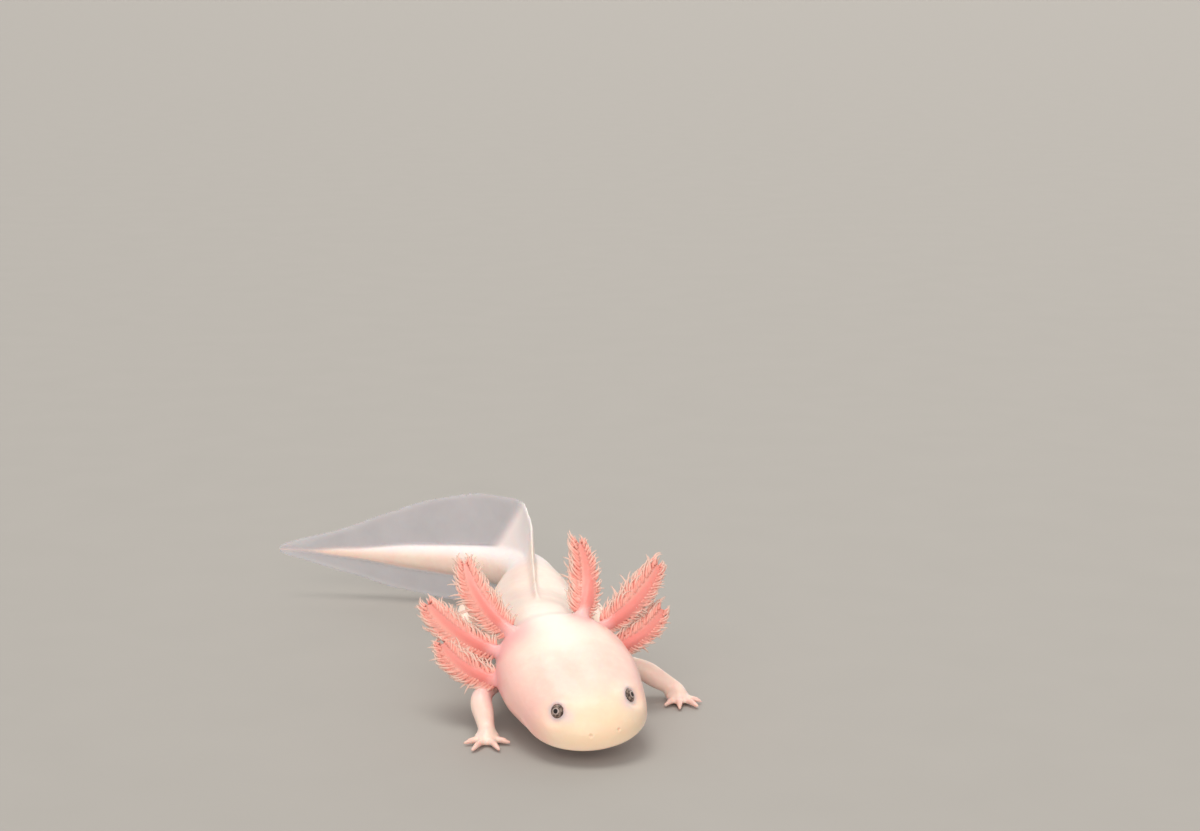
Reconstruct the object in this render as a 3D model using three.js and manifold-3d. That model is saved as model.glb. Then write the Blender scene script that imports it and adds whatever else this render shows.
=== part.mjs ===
// A life-size still model of a leucistic axolotl, about 14 cm long, standing on a flat floor with its head
// lowered and turned a little to its left, and its tail swung to its right.
// Millimetres, +Z up, nose towards -Y, the animal's left side towards +X. The origin is on the floor, in the
// middle of the flat on which the belly rests.
import * as THREE from "three";
import { mergeVertices } from "three/addons/utils/BufferGeometryUtils.js";
import Module from "manifold-3d";

const wasm = await Module();
wasm.setup();

// ---------------------------------------------------------------- driving dimensions
// Distances along the spine run from the snout, 0, to the tip of the tail fin.
const LENGTH = 146;
const BELLY_AT = 60; // where the belly rests, above the origin
const GAP = 0.3; // thin cut between neighbouring pieces

// Pose: turns in degrees, positive when the piece behind swings to the animal's right.
const HEAD_TURN = 15;
const HEAD_ROLL = 7; // left side of the head raised
const TAIL_TURN = 70;
const TAIL_TIP_TURN = 10;

// Stations where the body is parted.
const JAW_END = 20;
const HEAD_END = 29;
const NECK_END = 35.5;
const TRUNK_END = 78;
const TAIL_BASE_END = 96;
const TAIL_MIDDLE_END = 117;

// Height of the spine's line over the floor. In the head it is the level of the mouth.
const AXIS_HEIGHT = [[0, 3.6], [8, 5.6], [18, 8.3], [27, 10.2], [36, 10.2], [47, 8.5], [60, 7.1], [78, 7.6],
  [95, 8.1], [110, 8.6], [LENGTH, 9.3]];
// Half width of the body, and its depth above and below the spine's line, without the fins.
const HALF_WIDTH = [[0, 8.8], [7, 9.6], [13, 10.8], [18, 11.5], [22, 11.4], [27, 10.2], [31.5, 8.5], [37, 7.9],
  [50, 8.4], [62, 8.6], [72, 7.9], [78, 6.9], [85, 5.3], [94, 4.1], [106, 3.1], [121, 2.0], [133, 1.1], [LENGTH, 0.5]];
const DEPTH_ABOVE = [[0, 4.4], [5, 5.3], [9, 6.1], [14, 7.0], [20, 7.7], [27, 7.6], [32, 7.0], [38, 6.9], [50, 7.3],
  [62, 7.2], [72, 6.5], [78, 5.9], [86, 5.0], [95, 4.2], [106, 3.3], [120, 2.3], [131, 1.4], [LENGTH, 0.6]];
const DEPTH_BELOW = [[0, 2.6], [5, 3.1], [9, 3.7], [14, 4.4], [20, 5.0], [27, 5.4], [32, 5.6], [38, 6.1], [50, 7.4],
  [62, 7.5], [72, 6.9], [78, 6.1], [86, 5.0], [95, 4.2], [106, 3.3], [120, 2.2], [131, 1.3], [LENGTH, 0.6]];
// Roundness of the section: 2 is an ellipse, more is squarer.
const SQUARENESS = [[0, 2.2], [10, 2.35], [22, 2.35], [36, 2.1], [LENGTH, 2]];
const NOSE_ROUND = { side: 8.5, above: 5.5, below: 5 }; // how far back the snout takes to fill out
const TAIL_ROUND = 4;

// Fins: how far their edge stands beyond the body, and half their thickness at the root and the edge.
const BACK_FIN = [[38, 0], [48, 0.8], [60, 1.3], [70, 2.0], [78, 3.8], [86, 7.6], [94, 10.2], [104, 10.8], [112, 9.9],
  [122, 7.2], [133, 3.6], [LENGTH, 0.4]];
const BELLY_FIN = [[79, 0], [84, 1.6], [92, 4.0], [104, 5.4], [113, 5.6], [122, 4.9], [133, 3.0], [LENGTH, 0.3]];
const FIN_HALF_ROOT = 0.9;
const FIN_HALF_EDGE = 0.32;

const EYE = { at: 6.3, around: 50, radius: 1.4, sunk: 0.85 };

// ---------------------------------------------------------------- numbers along the spine
const radians = THREE.MathUtils.degToRad;

// A smooth line through [distance, value] pairs that never overshoots them.
function along(keys) {
  const rise = keys.slice(1).map(([s, v], i) => (v - keys[i][1]) / (s - keys[i][0]));
  const slope = keys.map((_, i) => {
    if (i === 0 || i === keys.length - 1) return i === 0 ? rise[0] : rise[i - 1];
    return rise[i - 1] * rise[i] <= 0 ? 0 : (2 * rise[i - 1] * rise[i]) / (rise[i - 1] + rise[i]);
  });
  return (s) => {
    const at = THREE.MathUtils.clamp(s, keys[0][0], keys[keys.length - 1][0]);
    const i = Math.max(0, keys.findIndex(([end]) => end >= at) - 1);
    const [[s0, v0], [s1, v1]] = [keys[i], keys[i + 1]];
    const [step, t] = [s1 - s0, (at - s0) / (s1 - s0)];
    const back = 1 - t;
    return v0 * (1 + 2 * t) * back * back + slope[i] * step * t * back * back
      + v1 * t * t * (3 - 2 * t) - slope[i + 1] * step * t * t * back;
  };
}
// How full a rounded end is, from 0 at its tip to 1 at a distance of reach.
const endFill = (fromTip, reach) => Math.sqrt(1 - (1 - Math.min(Math.max(fromTip, 0) / reach, 1)) ** 2);

const axisHeight = along(AXIS_HEIGHT);
const [halfWidth, depthAbove, depthBelow] = [HALF_WIDTH, DEPTH_ABOVE, DEPTH_BELOW].map(along);
const squareness = along(SQUARENESS);
const heading = along([[0, HEAD_TURN], [22, HEAD_TURN], [44, 0], [60, -2], [83, -2], [107, TAIL_TURN],
  [LENGTH, TAIL_TURN + TAIL_TIP_TURN]]);
const roll = along([[0, HEAD_ROLL], [22, HEAD_ROLL], [44, 0], [LENGTH, 0]]);

// ---------------------------------------------------------------- the spine
const SPINE_STEP = 0.5;
const spineLine = [new THREE.Vector3(0, 0, axisHeight(0))];
for (let s = SPINE_STEP; s <= LENGTH; s += SPINE_STEP) {
  const [turn, climb] = [radians(heading(s)), axisHeight(s) - axisHeight(s - SPINE_STEP)];
  const level = Math.sqrt(SPINE_STEP ** 2 - climb ** 2);
  const last = spineLine[spineLine.length - 1];
  spineLine.push(new THREE.Vector3(last.x - Math.sin(turn) * level, last.y + Math.cos(turn) * level, axisHeight(s)));
}
const bellyPoint = spineLine[BELLY_AT / SPINE_STEP].clone().setZ(0);
spineLine.forEach((point) => point.sub(bellyPoint));

// Where the spine is at s, with its directions to the tail, to the animal's left and up.
function frameAt(s) {
  const at = THREE.MathUtils.clamp(s / SPINE_STEP, 0, spineLine.length - 1);
  const i = Math.min(Math.floor(at), spineLine.length - 2);
  const origin = spineLine[i].clone().lerp(spineLine[i + 1], at - i);
  const tail = spineLine[i + 1].clone().sub(spineLine[i]).normalize();
  const level = new THREE.Vector3(tail.y, -tail.x, 0).normalize();
  const upright = level.clone().cross(tail);
  const tilt = radians(roll(s));
  const left = level.clone().multiplyScalar(Math.cos(tilt)).addScaledVector(upright, Math.sin(tilt));
  return { origin, tail, left, up: left.clone().cross(tail) };
}
const fromFrame = ({ origin, tail, left, up }, side, height, back = 0) =>
  origin.clone().addScaledVector(left, side).addScaledVector(up, height).addScaledVector(tail, back);

// A point of the body's surface: angle 0 is the animal's left side, 90 its back. grow moves the surface out.
function bodyPoint(s, angle, grow = 0) {
  const power = 2 / squareness(s);
  const [across, high] = [Math.cos(angle), Math.sin(angle)];
  const tailEnd = endFill(LENGTH - s, TAIL_ROUND);
  const side = (halfWidth(s) * endFill(s, NOSE_ROUND.side) + grow) * tailEnd;
  const depth = high > 0 ? depthAbove(s) * endFill(s, NOSE_ROUND.above) : depthBelow(s) * endFill(s, NOSE_ROUND.below);
  const shape = (v) => Math.sign(v) * Math.abs(v) ** power;
  return fromFrame(frameAt(s), side * shape(across), (depth + grow) * tailEnd * shape(high));
}

// ---------------------------------------------------------------- closed solids
function solidOf(geometry) {
  geometry.deleteAttribute("normal");
  geometry.deleteAttribute("uv");
  const merged = mergeVertices(geometry, 1e-4);
  return new wasm.Manifold(new wasm.Mesh({
    numProp: 3,
    vertProperties: new Float32Array(merged.getAttribute("position").array),
    triVerts: new Uint32Array(merged.index.array),
  }));
}

// A sphere with every vertex moved: place(t, angle) gives a point for t from 0 to 1, pole to pole, and an angle round.
function shaped(sides, steps, place) {
  const sphere = new THREE.SphereGeometry(1, sides, steps);
  const at = sphere.getAttribute("position");
  const v = new THREE.Vector3();
  for (let i = 0; i < at.count; i++) {
    v.fromBufferAttribute(at, i);
    const t = Math.acos(THREE.MathUtils.clamp(v.y, -1, 1)) / Math.PI;
    const pole = t < 1e-6 || t > 1 - 1e-6;
    const point = place(t, pole ? 0 : Math.atan2(-v.z, v.x));
    at.setXYZ(i, point.x, point.y, point.z);
  }
  return solidOf(sphere);
}

// A limb, finger or stalk: a round or flattened tube along a curve, closed at both ends.
// radius(t) is half its width, flat its thickness over its width, and over the direction that it is flat across.
function tube(points, radius, { sides = 8, steps = 8, flat = 1, over = new THREE.Vector3(0, 0, 1) } = {}) {
  const curve = new THREE.CatmullRomCurve3(points, false, "centripetal");
  return shaped(sides, steps, (t, angle) => {
    const ahead = curve.getTangentAt(t);
    const side = over.clone().cross(ahead).normalize();
    const up = ahead.clone().cross(side);
    const full = radius(t) * Math.sqrt(Math.max(0, 1 - (2 * t - 1) ** 8));
    return curve.getPointAt(t)
      .addScaledVector(side, -full * Math.cos(angle))
      .addScaledVector(up, full * flat * Math.sin(angle));
  });
}

const trimAt = (solid, point, keep, gap = GAP / 2) =>
  solid.trimByPlane(keep.toArray(), keep.dot(point) + gap);
const largest = (solid) => solid.decompose().sort((a, b) => b.volume() - a.volume())[0];
const SIMPLIFY = 0.06; // corners closer than this to a straight edge are left out
const aboveFloor = (solid) => solid.trimByPlane([0, 0, 1], 0);

// The length of a solid between two stations of the spine.
function length(solid, from, to) {
  const [start, end] = [frameAt(from), frameAt(to)];
  let piece = solid;
  if (from > 0) piece = trimAt(piece, start.origin, start.tail);
  if (to < LENGTH) piece = trimAt(piece, end.origin, end.tail.clone().negate());
  return piece;
}

// ---------------------------------------------------------------- sub-parts
const model = new THREE.Group();
const skin = (name, color, roughness = 0.45) => new THREE.MeshStandardMaterial({ name, color, roughness, metalness: 0 });
const MATERIALS = {
  body: skin("body_skin", 0xf6d9cf),
  limb: skin("limb_skin", 0xf3cfc6),
  fin: skin("fin_membrane", 0xd9d3d6, 0.35),
  gill: skin("gill_flesh", 0xee8f88),
  eye: skin("eye_cornea", 0x2a2c33, 0.1),
};

function add(name, solid, material) {
  const mesh = largest(solid.simplify(SIMPLIFY)).getMesh();
  const geometry = new THREE.BufferGeometry();
  geometry.setAttribute("position", new THREE.BufferAttribute(new Float32Array(mesh.vertProperties), 3));
  geometry.setIndex(new THREE.BufferAttribute(new Uint32Array(mesh.triVerts), 1));
  geometry.computeVertexNormals();
  const node = new THREE.Mesh(geometry, material);
  node.name = name;
  model.add(node);
}

// Body: one closed form from snout to tail tip, flat where it meets the floor.
const BODY_SIDES = 20;
const BODY_STEPS = 40;
const STEP_CROWDING = 1.55; // above 1, steps are closer at the snout
const bodyForm = (grow) =>
  shaped(BODY_SIDES, BODY_STEPS, (t, angle) => bodyPoint(LENGTH * t ** STEP_CROWDING, angle, grow));
const body = aboveFloor(bodyForm(0));
const bodyWithGap = bodyForm(GAP);

// Eyes: balls set into sockets on the upper sides of the head.
const headFrame = frameAt(EYE.at);
const eyes = [["eye_left", 1], ["eye_right", -1]].map(([name, side]) => {
  const angle = radians(side > 0 ? EYE.around : 180 - EYE.around);
  const [surface, near] = [bodyPoint(EYE.at, angle), bodyPoint(EYE.at, angle + 0.05)];
  const forward = bodyPoint(EYE.at - 0.5, angle);
  const outward = near.clone().sub(surface).cross(forward.clone().sub(surface)).normalize();
  if (outward.dot(surface.clone().sub(headFrame.origin)) < 0) outward.negate();
  const centre = surface.clone().addScaledVector(outward, -EYE.sunk);
  const ball = (radius) => {
    const sphere = new THREE.SphereGeometry(radius, 12, 8);
    sphere.lookAt(outward);
    sphere.translate(...centre.toArray());
    return solidOf(sphere);
  };
  return { name, ball: ball(EYE.radius), socket: ball(EYE.radius + GAP) };
});

// Head and lower jaw, parted along the line of the mouth.
const headWhole = eyes.reduce((solid, eye) => solid.subtract(eye.socket), length(body, 0, HEAD_END));
const mouthFrame = frameAt(JAW_END / 2);
const JAW_CUT = 40; // size of the block that takes the lower jaw out of the head
const MOUTH_DROP = 1.1; // the lips lie this far under the line of the spine, tucked below the snout
const underMouth = (clearance) => {
  const block = new THREE.BoxGeometry(JAW_CUT, JAW_CUT, JAW_CUT);
  const turn = new THREE.Matrix4().makeBasis(mouthFrame.left, mouthFrame.tail, mouthFrame.up);
  block.translate(0, (JAW_END - JAW_CUT) / 2 + clearance, clearance - MOUTH_DROP - JAW_CUT / 2);
  block.applyMatrix4(turn.setPosition(mouthFrame.origin));
  return solidOf(block);
};
add("head", headWhole.subtract(underMouth(GAP / 2)), MATERIALS.body);
add("lower_jaw", headWhole.intersect(underMouth(-GAP / 2)), MATERIALS.body);
eyes.forEach((eye) => add(eye.name, eye.ball, MATERIALS.eye));

// Neck, trunk and three lengths of tail.
add("neck", length(body, HEAD_END, NECK_END), MATERIALS.body);
add("trunk", length(body, NECK_END, TRUNK_END), MATERIALS.body);
const TAIL_LENGTHS = [["base", TRUNK_END, TAIL_BASE_END], ["middle", TAIL_BASE_END, TAIL_MIDDLE_END],
  ["tip", TAIL_MIDDLE_END, LENGTH]];
TAIL_LENGTHS.forEach(([name, from, to]) => add("tail_" + name, length(body, from, to), MATERIALS.body));

// Fins: thin blades that stand on the back and under the tail, in the plane of the spine.
function fin(edge, up) {
  const reach = along(edge);
  const [first, last] = [edge[0][0], LENGTH];
  const depth = up > 0 ? depthAbove : depthBelow;
  return shaped(8, 24, (t, angle) => {
    const s = first + (last - first) * t;
    const ends = endFill(s - first, 3) * endFill(last - s, 1.5);
    const base = depth(s) * 0.4;
    const tip = depth(s) * endFill(last - s, TAIL_ROUND) + reach(s);
    const high = (Math.sin(angle) + 1) / 2;
    const half = THREE.MathUtils.lerp(FIN_HALF_ROOT, FIN_HALF_EDGE, high) * Math.min(1, (last - s) / 30 + 0.8);
    const side = Math.sign(Math.cos(angle)) * Math.abs(Math.cos(angle)) ** 0.5 * half * ends;
    return fromFrame(frameAt(s), side * up, up * (base + (tip - base) * high * ends));
  });
}
const backFin = fin(BACK_FIN, 1).subtract(bodyWithGap);
const bellyFin = aboveFloor(fin(BELLY_FIN, -1)).subtract(bodyWithGap);
add("back_fin", length(backFin, BACK_FIN[0][0] + 4, TRUNK_END), MATERIALS.fin);
TAIL_LENGTHS.forEach(([name, from, to]) => {
  add(`tail_fin_upper_${name}`, length(backFin, from, to), MATERIALS.fin);
  add(`tail_fin_lower_${name}`, length(bellyFin, from, to), MATERIALS.fin);
});

// Legs: upper length, lower length, and a foot flat on the floor with its digits spread.
// Places are on the floor plan, then height. digits are turns from the foot's own direction, in degrees.
const FINGERS = { turns: [-86, -30, 30, 84], lengths: [4.1, 4.6, 4.8, 3.9] };
const TOES = { turns: [-76, -38, 0, 38, 76], lengths: [3.2, 4.6, 5.4, 5.0, 3.4] };
const DIGIT_RADIUS = 0.55;
const DIGIT_HEIGHT = 0.42;
const LEGS = [
  { name: "foreleg_right", root: 33.5, side: -1, bend: [-11.2, -37.8, 5.2], foot: [-10.5, -43.6, 1.4], aim: -4,
    digits: FINGERS, spread: 1 },
  { name: "foreleg_left", root: 33.5, side: 1, bend: [17.2, -23.6, 5.2], foot: [23.0, -24.8, 1.8], aim: 14,
    digits: FINGERS, spread: 0.75 },
  { name: "hindleg_right", root: 76, side: -1, bend: [-11.6, 19.0, 5.0], foot: [-12.6, 12.0, 1.2], aim: -12,
    digits: TOES, spread: 0.9 },
  { name: "hindleg_left", root: 75, side: 1, bend: [12.2, 15.4, 5.1], foot: [13.7, 8.6, 1.2], aim: 20,
    digits: TOES, spread: 0.9 },
];
const LEG_ROOT_DROP = 2.2;
const LEG_ROOT_INSET = 2.6;
const PALM = 2.6; // ankle to the roots of the digits

LEGS.forEach(({ name, root, side, bend, foot, aim, digits, spread }) => {
  const hind = digits === TOES;
  const [thick, thin] = hind ? [2.4, 1.7] : [2.1, 1.7];
  const hip = fromFrame(frameAt(root), side * (halfWidth(root) - LEG_ROOT_INSET), -LEG_ROOT_DROP);
  const [knee, ankle] = [new THREE.Vector3(...bend), new THREE.Vector3(...foot)];
  const ahead = (turn) => new THREE.Vector3(Math.sin(radians(turn)), -Math.cos(radians(turn)), 0);
  const palm = ankle.clone().addScaledVector(ahead(aim), PALM).setZ(0.7);
  const middle = (a, b) => a.clone().lerp(b, 0.5);
  const limb = tube([hip, middle(hip, knee).add(new THREE.Vector3(0, 0, 0.5)), knee, middle(knee, ankle), ankle,
    palm.clone().addScaledVector(ahead(aim), 0.6)],
  (t) => thick + (thin - thick) * THREE.MathUtils.smoothstep(t, 0, 0.55), { sides: 8, steps: 9 });
  const forward = ahead(aim);
  const sole = tube([ankle.clone().setZ(0.95).addScaledVector(forward, -1.4), ankle.clone().setZ(0.9), palm,
    palm.clone().addScaledVector(forward, 1.1).setZ(0.55)],
  (t) => 1.3 + 1.0 * Math.sin(Math.PI * Math.min(t * 1.05, 1)), { sides: 7, steps: 5, flat: 0.42 });
  const toes = digits.turns.map((turn, i) => {
    const out = ahead(aim + side * turn * spread);
    const start = palm.clone().addScaledVector(forward, -0.9).addScaledVector(out, 0.6).setZ(0.75);
    const tip = palm.clone().addScaledVector(out, digits.lengths[i]).setZ(DIGIT_HEIGHT);
    const arch = middle(start, tip).setZ(0.8);
    return tube([start, arch, tip], (t) => DIGIT_RADIUS * (1.25 - 0.5 * t), { sides: 4, steps: 4 });
  });
  const whole = aboveFloor(wasm.Manifold.union([limb, sole, ...toes])).subtract(bodyWithGap);
  const down = ankle.clone().sub(knee).normalize();
  const across = knee.clone().sub(hip).normalize().add(down).normalize();
  const wrist = knee.clone().lerp(ankle, 0.86);
  const [upper, rest] = [trimAt(whole, knee, across.clone().negate()), trimAt(whole, knee, across)];
  add(name + "_upper", upper, MATERIALS.limb);
  add(name + "_lower", trimAt(rest, wrist, down.clone().negate()), MATERIALS.limb);
  add(name + (hind ? "_foot" : "_hand"), trimAt(rest, wrist, down), MATERIALS.limb);
});

// Gills: three flat blades on stalks a side at the back of the head, each with filaments down both edges.
// turn is the bearing from straight back towards the animal's left, and rise the climb, both in degrees.
const GILLS = [
  { name: "gill_right_upper", around: 130, root: 27.5, length: 17.5, start: [-50, 20], end: [-10, 40] },
  { name: "gill_right_middle", around: 158, root: 27, length: 17.5, start: [-62, 5], end: [-30, 30] },
  { name: "gill_right_lower", around: 182, root: 24, length: 13.5, start: [-72, 5], end: [-24, 30] },
  { name: "gill_left_upper", around: 56, root: 28, length: 15.5, start: [24, 28], end: [-24, 50] },
  { name: "gill_left_middle", around: 27, root: 27.5, length: 16.5, start: [64, 16], end: [38, 46] },
  { name: "gill_left_lower", around: 0, root: 26, length: 12.5, start: [70, 6], end: [40, 40] },
];
const STALK_ROOT_RADIUS = 1.6;
const STALK_TIP_RADIUS = 0.45;
const BLADE_HALF_WIDTH = 2.1; // of a gill 17 long, at its widest
const FILAMENT_PAIRS = 9;
const FILAMENT_RADIUS = 0.42;

GILLS.forEach(({ name, around, root, length: long, start, end }) => {
  const bearing = ([turn, rise]) => new THREE.Vector3(
    Math.sin(radians(turn)) * Math.cos(radians(rise)),
    Math.cos(radians(turn)) * Math.cos(radians(rise)),
    Math.sin(radians(rise)),
  );
  const foot = bodyPoint(root, radians(around)).addScaledVector(bearing(start), -1.5);
  const line = [foot];
  const pieces = 6;
  for (let i = 0; i < pieces; i++) {
    const share = (i + 0.5) / pieces;
    const step = bearing(start).lerp(bearing(end), share).normalize();
    line.push(line[i].clone().addScaledVector(step, (long + 1.5) / pieces));
  }
  const curve = new THREE.CatmullRomCurve3(line, false, "centripetal");
  const front = new THREE.Vector3(0, -1, 0.35).normalize(); // the smooth face of the stalk
  const blade = BLADE_HALF_WIDTH * (0.6 + 0.4 * long / 17);
  const stalk = tube(line, (t) => Math.max(THREE.MathUtils.lerp(STALK_ROOT_RADIUS, STALK_TIP_RADIUS, t ** 0.75),
    blade * Math.sin(Math.PI * (0.12 + 0.7 * t))), { sides: 7, steps: 7, flat: 0.58, over: front });
  const filaments = [];
  for (let i = 0; i < FILAMENT_PAIRS; i++) {
    const t = 0.2 + (0.8 * (i + 0.5)) / FILAMENT_PAIRS;
    const [at, ahead] = [curve.getPointAt(t), curve.getTangentAt(t)];
    const across = front.clone().cross(ahead).normalize();
    const behind = across.clone().cross(ahead).normalize();
    if (behind.dot(front) > 0) behind.negate();
    const size = 5.2 * Math.sin(Math.PI * (0.2 + 0.62 * t)) * (long / 17);
    [-1, 1].forEach((row) => {
      const lean = radians(58 - 34 * t);
      const out = across.clone().multiplyScalar(row).addScaledVector(behind, 0.35).normalize();
      const point = ahead.clone().multiplyScalar(Math.cos(lean)).addScaledVector(out, Math.sin(lean));
      const cone = new THREE.ConeGeometry(FILAMENT_RADIUS, size, 3, 1);
      cone.translate(0, size / 2 - 0.3, 0);
      cone.applyQuaternion(new THREE.Quaternion().setFromUnitVectors(new THREE.Vector3(0, 1, 0), point));
      cone.translate(...at.toArray());
      filaments.push(solidOf(cone));
    });
  }
  add(name, wasm.Manifold.union([stalk, ...filaments]).subtract(bodyWithGap), MATERIALS.gill);
});

export default model;
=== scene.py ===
"""A pale axolotl, life size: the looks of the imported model, which is loaded as a fixed frame."""
import math
import random

import bmesh
import bpy
import numpy as np
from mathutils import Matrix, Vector


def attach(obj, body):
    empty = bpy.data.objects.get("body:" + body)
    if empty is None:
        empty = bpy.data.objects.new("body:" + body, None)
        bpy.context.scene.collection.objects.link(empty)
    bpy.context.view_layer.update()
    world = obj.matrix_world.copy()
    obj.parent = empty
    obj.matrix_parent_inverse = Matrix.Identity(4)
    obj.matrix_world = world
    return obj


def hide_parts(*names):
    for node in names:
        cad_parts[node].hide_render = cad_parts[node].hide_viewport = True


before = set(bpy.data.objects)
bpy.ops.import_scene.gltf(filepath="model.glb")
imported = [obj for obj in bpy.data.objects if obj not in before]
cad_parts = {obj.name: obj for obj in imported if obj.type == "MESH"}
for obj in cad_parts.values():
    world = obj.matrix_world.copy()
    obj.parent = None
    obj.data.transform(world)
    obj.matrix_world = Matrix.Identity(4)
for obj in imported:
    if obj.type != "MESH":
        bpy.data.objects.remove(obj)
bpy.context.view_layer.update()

# ---------------------------------------------------------------- the spine
# An axolotl is one soft body strung on its spine, which here lies turned at the neck and swung at the tail.
# Everything that grows on the body is placed by its distance along this line, in millimetres from the snout,
# and by how far it lies to the animal's left and above the line.
MM = 0.001
LENGTH = 146.0
SKULL_END, NECK_END, BELLY_AT = 22.0, 44.0, 60.0
HEAD_TURN, HEAD_ROLL, TAIL_TURN, TAIL_TIP_TURN = 15.0, 7.0, 70.0, 10.0  # degrees
AXIS_HEIGHT = [(0, 3.6), (8, 5.6), (18, 8.3), (27, 10.2), (36, 10.2), (47, 8.5), (60, 7.1), (78, 7.6),
               (95, 8.1), (110, 8.6), (LENGTH, 9.3)]
SPINE_STEP = 0.5
LAST_STEP = 1.000001  # keeps a place on the last step of a line, and not just past it
POINTS_AT_ONCE = 4000  # so that a search through the spine's steps fits in memory


def along(keys):
    """A smooth line through (distance, value) pairs that never overshoots them."""
    at, value = np.array(keys, float).T
    rise = np.diff(value) / np.diff(at)
    total = rise[:-1] + rise[1:]
    level = rise[:-1] * rise[1:] <= 0
    inner = np.where(level, 0, 2 * rise[:-1] * rise[1:] / np.where(level, 1, total))
    slope = np.concatenate([rise[:1], inner, rise[-1:]])

    def read(s):
        s = np.clip(s, at[0], at[-1])
        i = np.clip(np.searchsorted(at, s) - 1, 0, len(at) - 2)
        step = at[i + 1] - at[i]
        t = (s - at[i]) / step
        back = 1 - t
        return (value[i] * (1 + 2 * t) * back * back + slope[i] * step * t * back * back
                + value[i + 1] * t * t * (3 - 2 * t) - slope[i + 1] * step * t * t * back)

    return read


axis_height = along(AXIS_HEIGHT)
heading = along([(0, HEAD_TURN), (SKULL_END, HEAD_TURN), (NECK_END, 0), (60, -2), (83, -2),
                 (107, TAIL_TURN), (LENGTH, TAIL_TURN + TAIL_TIP_TURN)])
roll = along([(0, HEAD_ROLL), (SKULL_END, HEAD_ROLL), (NECK_END, 0), (LENGTH, 0)])

spine_at = np.arange(0, LENGTH + SPINE_STEP / 2, SPINE_STEP)
spine_turn = np.radians(heading(spine_at[1:]))
spine_climb = np.diff(axis_height(spine_at))
spine_level = np.sqrt(SPINE_STEP ** 2 - spine_climb ** 2)
spine_line = np.zeros((len(spine_at), 3))
spine_line[1:, 0] = -np.cumsum(np.sin(spine_turn) * spine_level)
spine_line[1:, 1] = np.cumsum(np.cos(spine_turn) * spine_level)
spine_line[:, 2] = axis_height(spine_at)
spine_line[:, :2] -= spine_line[int(BELLY_AT / SPINE_STEP), :2]


def unit(v):
    return v / np.linalg.norm(v, axis=-1, keepdims=True)


spine_tail = unit(np.gradient(spine_line, axis=0))
spine_flat = unit(np.stack([spine_tail[:, 1], -spine_tail[:, 0], 0 * spine_at], axis=1))
spine_roll = np.radians(roll(spine_at))[:, None]
spine_left = spine_flat * np.cos(spine_roll) + np.cross(spine_flat, spine_tail) * np.sin(spine_roll)
spine_up = np.cross(spine_left, spine_tail)


def spine_frame(s):
    """The spine's place and its directions to the tail, to the animal's left and up, at distances s."""
    at = np.clip(np.asarray(s, float) / SPINE_STEP, 0, len(spine_at) - LAST_STEP)
    i = at.astype(int)
    share = (at - i)[..., None]
    tables = (spine_line, spine_tail, spine_left, spine_up)
    return [table[i] * (1 - share) + table[i + 1] * share for table in tables]


def from_spine(s, side, height):
    origin, _, left, up = spine_frame(s)
    return origin + left * np.asarray(side)[..., None] + up * np.asarray(height)[..., None]


def to_spine(points):
    """The reverse: distance along the spine, and how far left and up, of each point."""
    nearest = np.empty(len(points), int)
    for first in range(0, len(points), POINTS_AT_ONCE):
        some = slice(first, first + POINTS_AT_ONCE)
        gap = points[some, None, :] - spine_line[None]
        nearest[some] = np.argmin(np.einsum("ijk,ijk->ij", gap, gap), axis=1)
    ahead = np.einsum("ij,ij->i", points - spine_line[nearest], spine_tail[nearest])
    s = np.clip(spine_at[nearest] + ahead, 0, LENGTH)
    origin, _, left, up = spine_frame(s)
    offset = points - origin
    return s, np.einsum("ij,ij->i", offset, left), np.einsum("ij,ij->i", offset, up)


# ---------------------------------------------------------------- body and fins
# Head, trunk and tail are one soft round form, widest at the cheeks and flattened from side to side in the
# tail. The fins are folds of the same skin, standing on the back and under the tail.
HALF_WIDTH = along([(0, 8.8), (7, 9.6), (13, 10.8), (18, 11.5), (22, 11.4), (27, 10.2), (31.5, 8.5),
                    (37, 7.9), (50, 8.4), (62, 8.6), (72, 7.9), (78, 6.9), (85, 5.3), (94, 4.1),
                    (106, 3.1), (121, 2.0), (133, 1.1), (LENGTH, 0.5)])
DEPTH_ABOVE = along([(0, 4.4), (5, 5.3), (9, 6.1), (14, 7.0), (20, 7.7), (27, 7.6), (32, 7.0),
                     (38, 6.9), (50, 7.3), (62, 7.2), (72, 6.5), (78, 5.9), (86, 5.0), (95, 4.2),
                     (106, 3.3), (120, 2.3), (131, 1.4), (LENGTH, 0.6)])
DEPTH_BELOW = along([(0, 2.6), (5, 3.1), (9, 3.7), (14, 4.4), (20, 5.0), (27, 5.4), (32, 5.6),
                     (38, 6.1), (50, 7.4), (62, 7.5), (72, 6.9), (78, 6.1), (86, 5.0), (95, 4.2),
                     (106, 3.3), (120, 2.2), (131, 1.3), (LENGTH, 0.6)])
SQUARENESS = along([(0, 2.2), (10, 2.35), (22, 2.35), (36, 2.1), (LENGTH, 2)])
NOSE_SIDE, NOSE_ABOVE, NOSE_BELOW, TAIL_ROUND = 8.5, 5.5, 5.0, 4.0
RING_CROWDING = 1.3  # sets the body's rings closer together towards the snout
BACK_FIN = [(38, 0), (48, 0.8), (60, 1.3), (70, 2.0), (78, 3.8), (86, 7.6), (94, 10.2), (104, 10.8),
            (112, 9.9), (122, 7.2), (133, 3.6), (LENGTH, 0.4)]
BELLY_FIN = [(79, 0), (84, 1.6), (92, 4.0), (104, 5.4), (113, 5.6), (122, 4.9), (133, 3.0),
             (LENGTH, 0.3)]
FIN_HALF_ROOT, FIN_HALF_EDGE = 0.9, 0.32
FIN_SUNK = 0.4  # the blade starts at this share of the body's depth
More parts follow.
